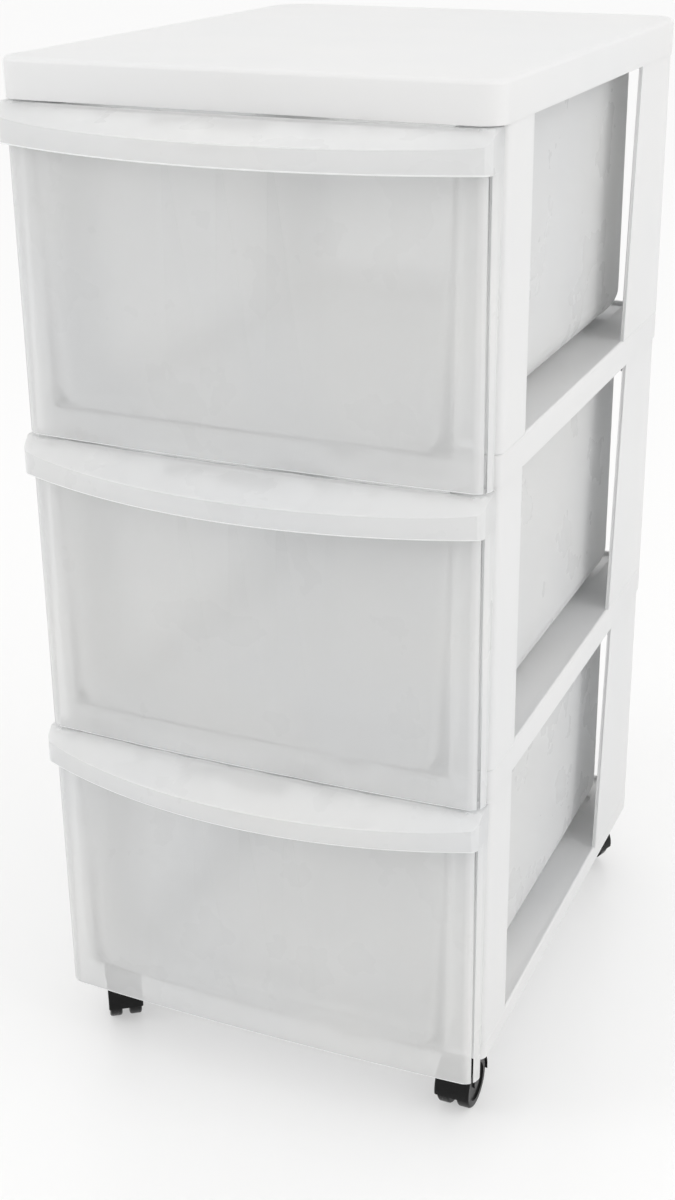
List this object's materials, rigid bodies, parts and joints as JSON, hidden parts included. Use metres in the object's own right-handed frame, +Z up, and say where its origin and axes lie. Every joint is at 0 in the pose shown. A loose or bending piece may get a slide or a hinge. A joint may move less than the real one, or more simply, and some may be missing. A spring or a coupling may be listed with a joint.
{
  "type": "plastic drawer cart",
  "caption": "Rolling storage cart: stacked open-sided plastic frames, translucent drawers that slide out by a bowed pull hood, and swivelling twin-wheel casters.",
  "frame": {"origin": "centre of the bounding box on the floor, under the cart", "axes": "+Z up, +X to the cart's right seen from the front, -Y towards the drawer fronts"},
  "size_m": [0.3001, 0.418, 0.663],
  "materials": {
    "frame_plastic": "smooth opaque white polypropylene with a soft sheen",
    "drawer_plastic": "frosted translucent polypropylene",
    "caster_plastic": "black moulded nylon",
    "wheel_plastic": "black moulded wheel, polished tread",
    "steel": "zinc plated steel",
    "sleeve_nylon": "natural nylon"
  },
  "bodies": {
    "cart": {"top_frame": "frame_plastic", "middle_frame": "frame_plastic", "bottom_frame": "frame_plastic", "front_left_caster_sleeve": "sleeve_nylon", "front_left_caster_stem": "steel", "front_right_caster_sleeve": "sleeve_nylon", "front_right_caster_stem": "steel", "rear_left_caster_sleeve": "sleeve_nylon", "rear_left_caster_stem": "steel", "rear_right_caster_sleeve": "sleeve_nylon", "rear_right_caster_stem": "steel"},
    "top_drawer": {"top_drawer": "drawer_plastic"},
    "middle_drawer": {"middle_drawer": "drawer_plastic"},
    "bottom_drawer": {"bottom_drawer": "drawer_plastic"},
    "front_left_swivel": {"front_left_caster_hood": "caster_plastic", "front_left_caster_axle": "steel"},
    "front_left_wheel_left": {"front_left_wheel_left": "wheel_plastic"},
    "front_left_wheel_right": {"front_left_wheel_right": "wheel_plastic"},
    "front_right_swivel": {"front_right_caster_hood": "caster_plastic", "front_right_caster_axle": "steel"},
    "front_right_wheel_left": {"front_right_wheel_left": "wheel_plastic"},
    "front_right_wheel_right": {"front_right_wheel_right": "wheel_plastic"},
    "rear_left_swivel": {"rear_left_caster_hood": "caster_plastic", "rear_left_caster_axle": "steel"},
    "rear_left_wheel_left": {"rear_left_wheel_left": "wheel_plastic"},
    "rear_left_wheel_right": {"rear_left_wheel_right": "wheel_plastic"},
    "rear_right_swivel": {"rear_right_caster_hood": "caster_plastic", "rear_right_caster_axle": "steel"},
    "rear_right_wheel_left": {"rear_right_wheel_left": "wheel_plastic"},
    "rear_right_wheel_right": {"rear_right_wheel_right": "wheel_plastic"}
  },
  "joints": [
    {"name": "top_drawer_slide", "type": "slide", "parent": "cart", "child": "top_drawer", "axis": [0, -1, 0], "range_m": [0, 0.28]},
    {"name": "middle_drawer_slide", "type": "slide", "parent": "cart", "child": "middle_drawer", "axis": [0, -1, 0], "range_m": [0, 0.28]},
    {"name": "bottom_drawer_slide", "type": "slide", "parent": "cart", "child": "bottom_drawer", "axis": [0, -1, 0], "range_m": [0, 0.28]},
    {"name": "front_left_swivel_turn", "type": "hinge", "parent": "cart", "child": "front_left_swivel", "pos_m": [-0.1245, -0.143, 0.042], "axis": [0, 0, 1], "continuous": true},
    {"name": "front_left_wheel_left_roll", "type": "hinge", "parent": "front_left_swivel", "child": "front_left_wheel_left", "pos_m": [-0.13523, -0.13953, 0.0175], "axis": [0.8192, 0.5736, 0], "continuous": true},
    {"name": "front_left_wheel_right_roll", "type": "hinge", "parent": "front_left_swivel", "child": "front_left_wheel_right", "pos_m": [-0.12409, -0.13173, 0.0175], "axis": [0.8192, 0.5736, 0], "continuous": true},
    {"name": "front_right_swivel_turn", "type": "hinge", "parent": "cart", "child": "front_right_swivel", "pos_m": [0.1245, -0.143, 0.042], "axis": [0, 0, 1], "continuous": true},
    {"name": "front_right_wheel_left_roll", "type": "hinge", "parent": "front_right_swivel", "child": "front_right_wheel_left", "pos_m": [0.1177, -0.134, 0.0175], "axis": [1, 0, 0], "continuous": true},
    {"name": "front_right_wheel_right_roll", "type": "hinge", "parent": "front_right_swivel", "child": "front_right_wheel_right", "pos_m": [0.1313, -0.134, 0.0175], "axis": [1, 0, 0], "continuous": true},
    {"name": "rear_left_swivel_turn", "type": "hinge", "parent": "cart", "child": "rear_left_swivel", "pos_m": [-0.1245, 0.177, 0.042], "axis": [0, 0, 1], "continuous": true},
    {"name": "rear_left_wheel_left_roll", "type": "hinge", "parent": "rear_left_swivel", "child": "rear_left_wheel_left", "pos_m": [-0.12781, 0.18778, 0.0175], "axis": [0.9397, -0.342, 0], "continuous": true},
    {"name": "rear_left_wheel_right_roll", "type": "hinge", "parent": "rear_left_swivel", "child": "rear_left_wheel_right", "pos_m": [-0.11503, 0.18313, 0.0175], "axis": [0.9397, -0.342, 0], "continuous": true},
    {"name": "rear_right_swivel_turn", "type": "hinge", "parent": "cart", "child": "rear_right_swivel", "pos_m": [0.1245, 0.177, 0.042], "axis": [0, 0, 1], "continuous": true},
    {"name": "rear_right_wheel_left_roll", "type": "hinge", "parent": "rear_right_swivel", "child": "rear_right_wheel_left", "pos_m": [0.11372, 0.17369, 0.0175], "axis": [0.342, 0.9397, 0], "continuous": true},
    {"name": "rear_right_wheel_right_roll", "type": "hinge", "parent": "rear_right_swivel", "child": "rear_right_wheel_right", "pos_m": [0.11837, 0.18647, 0.0175], "axis": [0.342, 0.9397, 0], "continuous": true}
  ]
}
